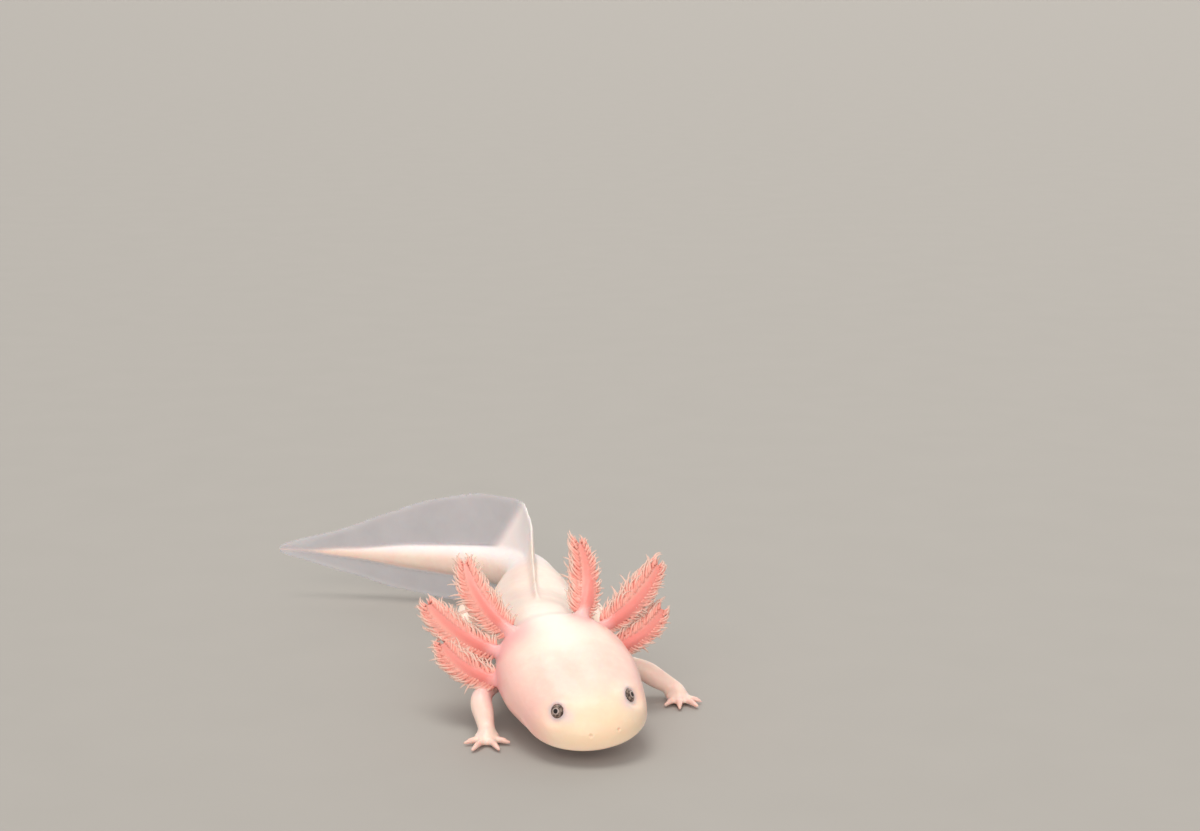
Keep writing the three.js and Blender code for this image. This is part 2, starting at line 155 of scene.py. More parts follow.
FIN_START_ROUND, FIN_END_ROUND = 3.0, 1.5
RIPPLE_HEIGHT, RIPPLE_FROM, RIPPLE_GROWS = 0.35, 80.0, 12.0
RIPPLES = 0.55  # radians for each millimetre along the fin


def end_fill(from_tip, reach):
    """How full a rounded end is: nothing at its tip, and full from reach on."""
    return np.sqrt(1 - (1 - np.clip(np.asarray(from_tip) / reach, 0, 1)) ** 2)


def body_point(s, angle, grow=0.0):
    """A point of the body without its fins: angle 0 is the animal's left side, a quarter turn its back."""
    power = 2 / SQUARENESS(s)
    across, high = np.cos(angle), np.sin(angle)
    tail_end = end_fill(LENGTH - s, TAIL_ROUND)
    side = (HALF_WIDTH(s) * end_fill(s, NOSE_SIDE) + grow) * tail_end
    above = DEPTH_ABOVE(s) * end_fill(s, NOSE_ABOVE)
    below = DEPTH_BELOW(s) * end_fill(s, NOSE_BELOW)
    depth = np.where(high > 0, above, below)
    return from_spine(s, side * np.sign(across) * np.abs(across) ** power,
                      (depth + grow) * tail_end * np.sign(high) * np.abs(high) ** power)


def add_form(mesh, sides, steps, place):
    """Adds a ball whose vertices go to place(t, angle): t runs from pole to pole, and angle goes round."""
    ball = bmesh.new()
    bmesh.ops.create_uvsphere(ball, u_segments=sides, v_segments=steps, radius=1)
    at = np.array([v.co for v in ball.verts])
    t = np.arccos(np.clip(at[:, 2], -1, 1)) / math.pi
    for v, point in zip(ball.verts, place(t, np.arctan2(at[:, 1], at[:, 0]))):
        v.co = point * MM
    bmesh.ops.recalc_face_normals(ball, faces=ball.faces)
    form = bpy.data.meshes.new("form")
    ball.to_mesh(form)
    ball.free()
    mesh.from_mesh(form)
    bpy.data.meshes.remove(form)


def fin_form(edge, up):
    """Places the blade of a fin: up is 1 on the back and -1 under the tail."""
    reach, first = along(edge), edge[0][0]
    depth = DEPTH_ABOVE if up > 0 else DEPTH_BELOW

    def place(t, angle):
        s = first + (LENGTH - first) * t
        ends = end_fill(s - first, FIN_START_ROUND) * end_fill(LENGTH - s, FIN_END_ROUND)
        base = depth(s) * FIN_SUNK
        tip = depth(s) * end_fill(LENGTH - s, TAIL_ROUND) + reach(s)
        high = (np.sin(angle) + 1) / 2
        thinned = np.minimum(1, (LENGTH - s) / 30 + 0.8)
        half = (FIN_HALF_ROOT + (FIN_HALF_EDGE - FIN_HALF_ROOT) * high) * thinned
        side = np.sign(np.cos(angle)) * np.abs(np.cos(angle)) ** 0.5 * half * ends
        ripple = RIPPLE_HEIGHT * np.sin(s * RIPPLES) * high ** 2
        ripple *= np.clip((s - RIPPLE_FROM) / RIPPLE_GROWS, 0, 1)
        return from_spine(s, side * up + ripple * ends, up * (base + (tip - base) * high * ends))

    return place


skin_mesh = bmesh.new()
add_form(skin_mesh, 96, 420, lambda t, angle: body_point(LENGTH * t ** RING_CROWDING, angle))
add_form(skin_mesh, 24, 260, fin_form(BACK_FIN, 1))
add_form(skin_mesh, 24, 200, fin_form(BELLY_FIN, -1))


# ---------------------------------------------------------------- legs
# Four short, soft legs: the hands have four digits and the feet five, with no claws. The soles and digits lie
# on the floor. They are the same boneless-looking flesh as the body and grow out of its sides.
def smooth_line(points, count=60):
    """Evenly spaced points on the centripetal curve through the given ones."""
    p = np.array(points, float)
    p = np.vstack([2 * p[0] - p[1], p, 2 * p[-1] - p[-2]])
    fine = []
    for a, b, c, d in zip(p, p[1:], p[2:], p[3:]):
        before, during, after = (max(np.linalg.norm(v) ** 0.5, 1e-4) for v in (b - a, c - b, d - c))
        out = ((b - a) / before - (c - a) / (before + during) + (c - b) / during) * during
        into = ((c - b) / during - (d - b) / (during + after) + (d - c) / after) * during
        t = np.linspace(0, 1, 20, endpoint=False)[:, None]
        square, cube = 3 * (c - b) - 2 * out - into, out + into - 2 * (c - b)
        fine.append(b + out * t + square * t ** 2 + cube * t ** 3)
    fine = np.vstack(fine + [p[-2:-1]])
    run = np.concatenate([[0], np.cumsum(np.linalg.norm(np.diff(fine, axis=0), axis=1))])
    even = np.linspace(0, run[-1], count)
    return np.stack([np.interp(even, run, fine[:, k]) for k in range(3)], axis=1)


def on_line(line, t):
    """The place and direction at shares t of a line of even points."""
    at = np.clip(np.asarray(t, float) * (len(line) - 1), 0, len(line) - LAST_STEP)
    i = at.astype(int)
    share = (at - i)[..., None]
    ahead = unit(np.gradient(line, axis=0))
    return line[i] * (1 - share) + line[i + 1] * share, unit(ahead[i] * (1 - share) + ahead[i + 1] * share)


def tube_form(line, radius, flat=1.0, over=(0, 0, 1)):
    """A tube along a line, round or flattened across the direction over, and closed at both ends."""
    def place(t, angle):
        centre, ahead = on_line(line, t)
        side = unit(np.cross(np.array(over, float), ahead))
        up = np.cross(ahead, side)
        full = (radius(t) * np.sqrt(np.clip(1 - (2 * t - 1) ** 8, 0, 1)))[..., None]
        return centre - side * full * np.cos(angle)[..., None] + up * full * flat * np.sin(angle)[..., None]

    return place


# "turns" and "lengths" are each digit's bearing from the middle of the hand and how far it reaches out.
FINGERS = {"turns": [-86, -30, 30, 84], "lengths": [4.1, 4.6, 4.8, 3.9]}
TOES = {"turns": [-76, -38, 0, 38, 76], "lengths": [3.2, 4.6, 5.4, 5.0, 3.4]}
# A leg grows from "root" along the spine, on the left where "side" is 1. "bend" is its elbow or knee and
# "foot" its wrist or ankle, in millimetres from under the belly. "aim" is how far its hand or foot is turned
# from straight ahead, in degrees, and "spread" how far its digits are spread.
LEGS = [
    {"root": 33.5, "side": -1, "bend": (-11.2, -37.8, 5.2), "foot": (-10.5, -43.6, 1.4), "aim": -4,
     "digits": FINGERS, "spread": 1.0},
    {"root": 33.5, "side": 1, "bend": (17.2, -23.6, 5.2), "foot": (23.0, -24.8, 1.8), "aim": 14,
     "digits": FINGERS, "spread": 0.75},
    {"root": 76, "side": -1, "bend": (-11.6, 19.0, 5.0), "foot": (-12.6, 12.0, 1.2), "aim": -12,
     "digits": TOES, "spread": 0.9},
    {"root": 75, "side": 1, "bend": (12.2, 15.4, 5.1), "foot": (13.7, 8.6, 1.2), "aim": 20,
     "digits": TOES, "spread": 0.9},
]
LEG_ROOT_DROP, LEG_ROOT_INSET, PALM, DIGIT_RADIUS = 2.2, 2.6, 2.6, 0.55
FORELEG = {"thick": 2.1, "thin": 1.7, "muscle": 0.18}
HIND_LEG = {"thick": 2.4, "thin": 1.7, "muscle": 0.22}
HEEL_HEIGHT, ANKLE_HEIGHT, PALM_HEIGHT, BALL_HEIGHT = 0.95, 0.9, 0.7, 0.55
HEEL_BACK, BALL_FORWARD = 1.4, 1.1
SOLE_RADIUS, SOLE_SWELL, SOLE_FLATNESS = 1.25, 1.0, 0.42
DIGIT_ROOT_HEIGHT, KNUCKLE_HEIGHT, DIGIT_TIP_HEIGHT = 0.75, 0.85, 0.42
leg_lines = []
digit_lines = []


def bearing(turn):
    return np.array([math.sin(math.radians(turn)), -math.cos(math.radians(turn)), 0.0])


def lifted(point, height):
    return np.array([point[0], point[1], height])


for leg in LEGS:
    build = HIND_LEG if leg["digits"] is TOES else FORELEG
    reach = leg["side"] * (HALF_WIDTH(leg["root"]) - LEG_ROOT_INSET)
    hip = from_spine(leg["root"], reach, -LEG_ROOT_DROP)
    knee, ankle = np.array(leg["bend"]), np.array(leg["foot"])
    forward = bearing(leg["aim"])
    palm = lifted(ankle + forward * PALM, PALM_HEIGHT)
    leg_line = smooth_line([hip, (hip + knee) / 2 + (0, 0, 0.5), knee, (knee + ankle) / 2, ankle,
                            palm + forward * 0.6])

    def leg_radius(t, thick=build["thick"], thin=build["thin"], muscle=build["muscle"]):
        ease = np.clip(t / 0.55, 0, 1)
        swell = np.exp(-((t - 0.22) / 0.11) ** 2) + np.exp(-((t - 0.62) / 0.09) ** 2)
        waist = np.exp(-((t - 0.42) / 0.07) ** 2) + 1.3 * np.exp(-((t - 0.82) / 0.08) ** 2)
        return thick + (thin - thick) * ease * ease * (3 - 2 * ease) + muscle * (swell - waist)

    add_form(skin_mesh, 24, 40, tube_form(leg_line, leg_radius))
    sole_line = smooth_line([lifted(ankle - forward * HEEL_BACK, HEEL_HEIGHT), lifted(ankle, ANKLE_HEIGHT),
                             palm, lifted(palm + forward * BALL_FORWARD, BALL_HEIGHT)])
    add_form(skin_mesh, 20, 24, tube_form(sole_line, lambda t: SOLE_RADIUS + SOLE_SWELL * np.sin(
        math.pi * np.minimum(t * 1.05, 1)), flat=SOLE_FLATNESS))
    leg_lines.append((leg_line, leg_radius))
    for turn, length in zip(leg["digits"]["turns"], leg["digits"]["lengths"]):
        out = bearing(leg["aim"] + leg["side"] * turn * leg["spread"])
        start = lifted(palm - forward * 0.9 + out * 0.6, DIGIT_ROOT_HEIGHT)
        tip = lifted(palm + out * length, DIGIT_TIP_HEIGHT)
        digit_line = smooth_line([start, lifted((start + tip) / 2, KNUCKLE_HEIGHT), tip])
        add_form(skin_mesh, 12, 20, tube_form(digit_line, lambda t: DIGIT_RADIUS * (
            1.3 - 0.55 * t + 0.12 * np.exp(-((t - 0.55) / 0.1) ** 2))))
        digit_lines.append(digit_line)

# ---------------------------------------------------------------- gill stalks
# Three gills stand on each side at the back of the head. Each is a round fleshy stalk on a flat blade that is
# widest half way out, and both swell out of the head's skin. The fringe they carry is made further down.

# A gill grows from "root" along the spine and "around" degrees round the head. "start" and "end" are its
# bearing and its rise at its two ends, in degrees. "fringe" is how long the filaments stand free at its two
# edges, "ridge" how far the stalk lies off the middle of the blade, and "widest" where the blade is widest.
GILLS = [
    {"name": "right_upper", "around": 130, "root": 27.5, "length": 17.5, "start": (-50, 20), "end": (-10, 40),
     "fringe": (2.7, 2.9), "ridge": -0.25, "widest": 0.5},
    {"name": "right_middle", "around": 158, "root": 27, "length": 17.5, "start": (-62, 5), "end": (-30, 30),
     "fringe": (2.5, 2.9), "ridge": -0.3, "widest": 0.66},
    {"name": "right_lower", "around": 182, "root": 24, "length": 13.5, "start": (-72, 5), "end": (-24, 30),
     "fringe": (3.3, 2.4), "ridge": -0.2, "widest": 0.6},
    {"name": "left_upper", "around": 56, "root": 28, "length": 15.5, "start": (24, 28), "end": (-24, 50),
     "fringe": (1.7, 3.6), "ridge": -0.3, "widest": 0.42},
    {"name": "left_middle", "around": 27, "root": 27.5, "length": 16.5, "start": (64, 16), "end": (38, 46),
     "fringe": (1.7, 3.7), "ridge": -0.25, "widest": 0.55},
    {"name": "left_lower", "around": 0, "root": 26, "length": 12.5, "start": (70, 6), "end": (40, 40),
     "fringe": (1.7, 3.4), "ridge": -0.2, "widest": 0.55},
]
STALK_ROOT_RADIUS, STALK_TIP_RADIUS, STALK_SUNK = 1.5, 0.3, 1.5
BLADE_HALF_WIDTH, BLADE_FLATNESS = 2.1, 0.2
STALK_FRONT = unit(np.array([0, -1, 0.35]))
STALK_JOINTS, STALK_POINTS = 6, 80
BLADE_AT_ROOT, BLADE_AT_TIP = 0.45, 0.35  # shares of its widest
FULL_GILL = 17.0  # a gill of this length has a blade of the full width


def pointing(turn, rise):
    """A direction turned from straight back towards the animal's left, and raised."""
    turn, rise = math.radians(turn), math.radians(rise)
    return np.array([math.sin(turn) * math.cos(rise), math.cos(turn) * math.cos(rise), math.sin(rise)])


def stalk_radius(t):
    return STALK_ROOT_RADIUS + (STALK_TIP_RADIUS - STALK_ROOT_RADIUS) * np.clip(t, 0, 1) ** 0.55


for gill in GILLS:
    first, last = pointing(*gill["start"]), pointing(*gill["end"])
    foot = body_point(gill["root"], math.radians(gill["around"])) - first * STALK_SUNK
    joints = [foot]
    for i in range(STALK_JOINTS):
        share = (i + 0.5) / STALK_JOINTS
        step = unit(first * (1 - share) + last * share) * (gill["length"] + STALK_SUNK) / STALK_JOINTS
        joints.append(joints[-1] + step)
    gill["line"] = smooth_line(joints, STALK_POINTS)
    blade = BLADE_HALF_WIDTH * (0.6 + 0.4 * gill["length"] / FULL_GILL)

    def blade_half(t, half=blade, widest=gill["widest"]):
        t = np.clip(t, 0, 1)
        growing = np.sin(math.pi / 2 * t / widest)
        narrowing = np.cos(math.pi / 2 * (t - widest) / (1.15 - widest))
        return half * np.where(t < widest, BLADE_AT_ROOT + (1 - BLADE_AT_ROOT) * growing,
                               BLADE_AT_TIP + (1 - BLADE_AT_TIP) * narrowing)

    gill["half"] = blade_half
    inner = np.cross(STALK_FRONT, unit(np.gradient(gill["line"], axis=0)))
    way_out = np.linspace(0, 1, STALK_POINTS)
    off = blade_half(way_out) * gill["ridge"] * way_out ** 0.5
    gill["stalk"] = gill["line"] + unit(inner) * off[:, None]
    add_form(skin_mesh, 20, 48, tube_form(gill["stalk"], stalk_radius, flat=0.9, over=STALK_FRONT))
    add_form(skin_mesh, 32, 48, tube_form(gill["line"], blade_half, flat=BLADE_FLATNESS, over=STALK_FRONT))

# ---------------------------------------------------------------- one skin
# All of these are grown together into one skin, softened where they meet, and then worked over as a sculptor
# would: mouth, nostrils, eye rims, throat fold, rib grooves and the folds of the neck.
SKIN_GRAIN = 0.38  # millimetres between points of the skin
EYE_AT, EYE_AROUND, EYE_RADIUS, EYE_SUNK = 6.3, 50.0, 1.4, 0.85
EYE_LOOKS = (0.65, 0.52, 0.52)  # shares of outwards, upwards and forwards in the way the eye looks
EYE_INSET = 0.25  # the ball lies this much nearer to the middle than the skin's own slope puts it
EYE_OPENING = 1.2  # radius of the ring of skin that the ball shows in
MOUTH_END = 12.5
MOUTH_DROP = 1.1  # the lips lie this far under the line of the spine, tucked below the snout
NOSTRIL_AT, NOSTRIL_AROUND = 0.75, (52, 128)
FINE_ROUND_EYE, FINE_ROUND_NOSTRIL = 2.0, 1.0

skin = bpy.data.objects.new("skin", bpy.data.meshes.new("skin"))
bpy.context.scene.collection.objects.link(skin)
skin_mesh.to_mesh(skin.data)
skin_mesh.free()


def apply_modifiers(piece):
    """Turns what the modifiers make into the piece's own mesh."""
    shown = piece.evaluated_get(bpy.context.evaluated_depsgraph_get())
    made = bpy.data.meshes.new_from_object(shown)
    piece.modifiers.clear()
    piece.data = made


grow_together = skin.modifiers.new("grow together", "REMESH")
grow_together.mode = "VOXEL"
grow_together.voxel_size = SKIN_GRAIN * MM
soften = skin.modifiers.new("soften", "SMOOTH")
soften.factor = 0.5
soften.iterations = 6
apply_modifiers(skin)


def skin_points():
    flat = np.empty(len(skin.data.vertices) * 3)
    skin.data.vertices.foreach_get("co", flat)
    return flat.reshape(-1, 3) / MM


def smooth_step(low, high, value):
    t = np.clip((value - low) / (high - low), 0, 1)
    return t * t * (3 - 2 * t)


def bump(value, width):
    return np.exp(-(value / width) ** 2)


def mouth_height(s):
    """How far the line of the lips lies above the spine's line: it dips, and lifts at the corner."""
    dip = 0.25 * np.sin(np.clip(s / MOUTH_END, 0, 1) * math.pi)
    return -MOUTH_DROP - dip + 0.7 * smooth_step(8, MOUTH_END, s)


eye_frames = []
for side in (1, -1):
    angle = math.radians(EYE_AROUND if side > 0 else 180 - EYE_AROUND)
    surface = body_point(EYE_AT, angle)
    round_head = body_point(EYE_AT, angle + 0.05) - surface
    towards_snout = body_point(EYE_AT - 0.5, angle) - surface
    outward = unit(np.cross(round_head, towards_snout))
    if np.dot(outward, surface - spine_frame(EYE_AT)[0]) < 0:
        outward = -outward
    _, to_tail, to_left, to_top = spine_frame(EYE_AT)
    looks = unit(to_left * side * EYE_LOOKS[0] + to_top * EYE_LOOKS[1] - to_tail * EYE_LOOKS[2])
    eye_frames.append((surface - outward * EYE_SUNK - to_left * side * EYE_INSET, looks))
nostrils = [body_point(NOSTRIL_AT, math.radians(angle)) for angle in NOSTRIL_AROUND]

# Finer skin round the mouth, the nostrils and the eyes, where the small forms are.
for reach in (1.0, 0.7):
    points = skin_points()
    s, side, up = to_spine(points)
    near = (s < MOUTH_END + 1.5) & (np.abs(up - mouth_height(s)) < reach)
    around_eyes = [(centre, FINE_ROUND_EYE) for centre, _ in eye_frames]
    for centre, radius in around_eyes + [(centre, FINE_ROUND_NOSTRIL) for centre in nostrils]:
        near |= np.linalg.norm(points - centre, axis=1) < radius * (0.6 + 0.4 * reach)
    finer = bmesh.new()
    finer.from_mesh(skin.data)
    finer.verts.ensure_lookup_table()
    edges = [e for e in finer.edges if near[e.verts[0].index] and near[e.verts[1].index]]
    bmesh.ops.subdivide_edges(finer, edges=edges, cuts=1, use_grid_fill=True, smooth=0.5)
    finer.to_mesh(skin.data)
    finer.free()

points = skin_points()
normals = np.empty(len(points) * 3)
skin.data.vertices.foreach_get("normal", normals)
normals = normals.reshape(-1, 3)
s, side, up = to_spine(points)
lift = np.zeros(len(points))


def nearest_on(line, points):
    """How far each point is from a line, and the share of the line where it is nearest."""
    best, share = np.full(len(points), np.inf), np.zeros(len(points))
    for i, place in enumerate(line):
        gap = np.linalg.norm(points - place, axis=1)
        closer = gap < best
        best[closer] = gap[closer]
        share[closer] = i / (len(line) - 1)
    return best, share


on_leg = np.zeros(len(points))
for line, radius in leg_lines:
    gap, share = nearest_on(line[::3], points)
    on_leg = np.maximum(on_leg, smooth_step(1.5, 1.1, gap / radius(share)) * smooth_step(0.1, 0.3, share))
on_digit = np.zeros(len(points))
for line in digit_lines:
    gap, share = nearest_on(line[::4], points)
    on_digit = np.maximum(on_digit, smooth_step(1.4, 0.9, gap) * smooth_step(0.15, 0.7, share))
on_gill = np.zeros(len(points))
gill_gap = np.full(len(points), np.inf)
on_ridge = np.zeros(len(points))
for gill in GILLS:
    gap, share = nearest_on(gill["line"][::2], points)
    reach = np.maximum(stalk_radius(share), gill["half"](share))
    this_gill = smooth_step(1.5, 1.15, gap / reach) * smooth_step(0.08, 0.26, share)
    on_gill = np.maximum(on_gill, this_gill)
    stalk_gap, _ = nearest_on(gill["stalk"][::2], points)
    on_ridge = np.maximum(on_ridge, this_gill * (1 - 0.5 * share)
                          * smooth_step(0.75, 0.1, stalk_gap - 0.9 * stalk_radius(share)))
    gill_gap = np.minimum(gill_gap, gap)
on_body = 1 - np.maximum(np.maximum(on_leg, on_digit), on_gill)

# The lips: a deep fine groove, with the upper lip full and standing over the lower. Each form is how far it
# lifts the skin, how far above the line of the lips it lies, and half its width.
LIP_FORMS = [(-0.55, 0, 0.16), (0.16, 0.55, 0.4), (-0.22, -0.6, 0.5)]
from_lips = up - mouth_height(s)
in_mouth = smooth_step(MOUTH_END, MOUTH_END - 1.5, s) * on_body
for rise, above, width in LIP_FORMS:
    lift += rise * bump(from_lips - above, width) * in_mouth
# Painted shade: the groove between the lips is coloured dark, where shade lies in it.
mouth_and_nostril_painted_shade = bump(from_lips, 0.2) * in_mouth

# Nostrils: two small pits with a soft rim, just over the upper lip, each darkened inside with painted shade.
PIT_DEPTH, PIT_WIDTH, PIT_RIM, PIT_RIM_AT = 0.24, 0.2, 0.03, 0.45
for centre in nostrils:
    gap = np.linalg.norm(points - centre, axis=1)
    lift += PIT_RIM * bump(gap - PIT_RIM_AT, PIT_WIDTH) - PIT_DEPTH * bump(gap, PIT_WIDTH)
    mouth_and_nostril_painted_shade = np.maximum(mouth_and_nostril_painted_shade, 0.25 * bump(gap, PIT_WIDTH))

# Eyes: they have no lids. The skin swells a little round each one and closes on the ball in a thin ring, set
# square to the way the eye looks, so that it rises like a brow on the inner side and falls away outside.
RIM_PROUD, RIM_SWELL = 0.06, 0.07
eye_ring = np.zeros(len(points))
lilac = np.zeros(len(points))
eye_shift = np.zeros((len(points), 3))
rim_height = math.sqrt(EYE_RADIUS ** 2 - EYE_OPENING ** 2)
for centre, looks in eye_frames:
    offset = points - centre
    high = offset @ looks
    gap = np.linalg.norm(offset - high[:, None] * looks, axis=1)
    here = (np.linalg.norm(offset, axis=1) < 5) & (high > -1.5)
    rim = rim_height + RIM_PROUD + RIM_SWELL * bump(gap - EYE_OPENING - 0.25, 0.22)
    under_ball = np.sqrt(np.maximum(EYE_RADIUS ** 2 - gap ** 2, 0)) - 0.3 * smooth_step(1.15, 0.9, gap)
    wanted = np.where(gap > EYE_OPENING, rim, under_ball)
    pull = np.where(here, np.where(gap > EYE_OPENING, bump(gap - EYE_OPENING, 0.95), 1), 0)
    eye_shift += looks * ((wanted - high) * pull)[:, None]
    eye_ring = np.maximum(eye_ring, np.where(here, bump(gap - EYE_OPENING - 0.1, 0.4), 0))
    # Beside the ball, on the side of the middle of the head, the skin looks lilac: partly thin skin over the
    # dark ball, partly painted shade beside it.
    inner = unit(spine_frame(EYE_AT)[0] - centre)
    along_skin = unit(np.cross(np.cross(looks, inner), looks))
    lilac_at = centre + inner * 0.2 + looks * rim_height + along_skin * 2.0
    lilac = np.maximum(lilac, bump(np.linalg.norm(points - lilac_at, axis=1), 1.1))
points += eye_shift

# The head's muscles: a shallow hollow down the middle, a swelling at each side behind the eyes.
head = smooth_step(7, 12, s) * smooth_step(29, 22, s) * smooth_step(0, 3, up) * on_body
lift += head * (-0.14 * bump(side, 2.2) + 0.16 * bump(np.abs(side) - 4.8, 2.6))
# Throat fold, neck folds and the grooves between the ribs.
THROAT_FOLD, THROAT_SWELL, THROAT_CURVE = 29.5, 28.2, 0.03
NECK_FOLDS = [(33.0, 0.08), (36.2, 0.07)]  # distance from the snout and depth
RIBS, FIRST_RIB, RIB_GAP, RIB_DEPTH = 13, 40.5, 2.75, 0.12
throat = smooth_step(1.0, -1.5, up) * on_body
lift -= 0.4 * bump(s - THROAT_FOLD - THROAT_CURVE * side ** 2, 0.45) * throat
lift += 0.18 * bump(s - THROAT_SWELL - THROAT_CURVE * side ** 2, 0.8) * throat
for fold, deep in NECK_FOLDS:
    lift -= deep * bump(s - fold - 0.25 * up, 0.6) * on_body * smooth_step(6, 3, up)
flank = smooth_step(0.8, 0.3, np.abs(up) / 7.0) * on_body
for i in range(RIBS):
    lift -= RIB_DEPTH * bump(s - (FIRST_RIB + RIB_GAP * i) - 0.12 * up, 0.4) * flank
# Muscle bands of the tail, bent like an arrowhead, and the vent under its root.
BAND_DEPTH, BAND_SLANT, BANDS, VENT_AT = 0.05, 0.7, 2.5, 79.5
tail_flank = smooth_step(80, 86, s) * smooth_step(138, 120, s)
tail_flank *= smooth_step(1.15, 0.8, np.abs(up) / DEPTH_ABOVE(s))
band = np.clip(np.sin((s - BAND_SLANT * np.abs(up)) * BANDS), 0, 1) ** 4
lift -= BAND_DEPTH * band * tail_flank * on_body
under_root = smooth_step(-3, -5, up) * on_body
lift += 0.5 * bump(s - VENT_AT, 2.2) * bump(side, 1.6) * under_root
lift -= 0.45 * bump(s - VENT_AT, 1.6) * bump(side, 0.25) * under_root

points += normals * lift[:, None]
points[:, 2] = np.maximum(points[:, 2], 0)
skin.data.vertices.foreach_set("co", (points * MM).ravel())
skin.data.shade_smooth()


def core_share(s):
    """How much of the body's depth is muscle: it runs out before the tip of the tail."""
    return 1 - 0.45 * smooth_step(118, 134, s) - 0.55 * smooth_step(132, 141, s)


# What the skin's colours follow. First the fins: how far out in one a point is, and how near to its margin.
depth_here = np.where(up > 0, DEPTH_ABOVE(s), DEPTH_BELOW(s))
fin_reach = np.where(up > 0, along(BACK_FIN)(s), along(BELLY_FIN)(np.maximum(s, BELLY_FIN[0][0])))
beyond = np.abs(up) - depth_here * core_share(s)
share_out = np.clip((np.abs(up) - depth_here) / np.maximum(fin_reach, 0.5), 0, 1)
clear_from = np.where(up > 0, 100 - 7.5 * share_out, 90)  # the fin is solid flesh up to this distance
on_fin = smooth_step(-0.3, 0.5, beyond) * smooth_step(-1.5, 2.5, s - clear_from) * on_body
margin = smooth_step(1.6, 0.3, depth_here + fin_reach - np.abs(up)) * smooth_step(80, 95, s) * on_fin
# Blood shows at the roots of the gills, on the cheeks, under the throat and a little across the forehead.
outward_share = np.abs(side) / HALF_WIDTH(s)
gill_roots = bump(np.maximum(gill_gap - 1.5, 0), 4.5) * smooth_step(34, 26, s)
cheeks = smooth_step(0.5, 1.0, outward_share) * smooth_step(36, 26, s) * smooth_step(2, 8, s)
under_throat = smooth_step(0.5, -3, up) * smooth_step(40, 30, s)
forehead = smooth_step(22, 12, s) * smooth_step(2, 8, s) * smooth_step(0, 2, up) * on_body
blush = np.maximum(np.maximum(gill_roots, 0.75 * cheeks), 0.35 * under_throat)
blush = blush * (1 - 0.8 * bump(side, 4.5) * smooth_step(2, 5, up)) * (1 - 0.85 * on_leg)
blush = np.maximum(blush, 0.3 * forehead)
rose = bump(np.maximum(gill_gap - 1.5, 0), 2.6) * smooth_step(34, 27, s)
# Warmth at the snout: partly the flesh's own peach, partly painted warm reflected light. Cream without blood
# on the crown and along the top of the tail, made whiter still by painted light from above.
snout_peach_and_painted_glow = smooth_step(11, 0, s) * smooth_step(-3, 1, up)
top_of_head_cream_and_painted_light = bump(side, 4.2) * smooth_step(1, 4, up) * smooth_step(12, 22, s) * smooth_step(42, 28, s)
tail_top_cream_and_painted_light = smooth_step(0.1, 0.85, up / DEPTH_ABOVE(s)) * smooth_step(74, 88, s) * on_body
for name, value in (("fin", on_fin), ("margin", margin), ("gill", on_gill), ("ridge", on_ridge),
                    ("digit", on_digit), ("blush", blush), ("rose", rose), ("top_of_head_cream_and_painted_light", top_of_head_cream_and_painted_light),
                    ("tail_top_cream_and_painted_light", tail_top_cream_and_painted_light), ("snout_peach_and_painted_glow", snout_peach_and_painted_glow), ("crease_shade", mouth_and_nostril_painted_shade),
                    ("eye_ring", eye_ring), ("lilac", lilac)):
    layer = skin.data.attributes.new(name, "FLOAT", "POINT")
    layer.data.foreach_set("value", np.clip(value, 0, 1).astype(np.float32))


def linear(hex_colour):
    """An sRGB hex value as linear colour."""
    channels = [int(hex_colour[i:i + 2], 16) / 255 for i in (1, 3, 5)]
    return [c / 12.92 if c <= 0.04045 else ((c + 0.055) / 1.055) ** 2.4 for c in channels] + [1.0]


def add_node(tree, kind, sockets=None, links=None, **settings):
    """Adds a shader node with its settings, its socket values and what is linked into it."""
    node = tree.nodes.new("ShaderNode" + kind)
    for name, value in settings.items():
        setattr(node, name, value)
    for socket, value in (sockets or {}).items():
        node.inputs[socket].default_value = value
    for socket, source in (links or {}).items():
        tree.links.new(source, node.inputs[socket])
    return node


def new_material(name):
    material = bpy.data.materials.new(name)
    material.use_nodes = True
    material.node_tree.nodes.clear()
    return material, material.node_tree


# Moist living skin without dark pigment: cream over pink flesh, so light goes in and comes out warmer. It is
# thin and pink with blood on the gills, peach at the snout, white on the crown and nearly clear in the fins.
# Part of the snout's peach is painted warm reflected light, part of the crown's white is painted light from
# above, and the lip groove and nostrils are darkened with painted shade.
SKIN_TINTS = [  # what each follows, how strongly it shows, and its colour
    # the peach at the snout is partly painted warm reflected light
    ("blush", 0.68, "#f7aaa6"), ("snout_peach_and_painted_glow", 0.7, "#ffdeb8"), ("rose", 0.35, "#f4a4b6"),
    # the whites of the crown and of the top of the tail are partly painted light from above
    ("top_of_head_cream_and_painted_light", 0.8, "#fff9f0"), ("tail_top_cream_and_painted_light", 0.8, "#fbf6fa"), ("digit", 0.5, "#f6cdc2"),
    # the lilac beside the eyes is partly painted shade
    ("gill", 1.0, "#f2a99d"), ("ridge", 0.6, "#ea6768"), ("lilac", 0.6, "#dccbe0"),
    # the last is painted shade in the lip groove and the nostril pits
    ("eye_ring", 0.6, "#d5c3cf"), ("crease_shade", 0.75, "#b9776c")]
CREAM, SHELL_PINK, IVORY = "#fbe3d6", "#f9dacf", "#fdf1e6"
FIN_DARK, FIN_LIGHT, FIN_MARGIN = "#c0bfcb", "#cbcad6", "#d8d8e3"
FIN_OPACITY = 0.28
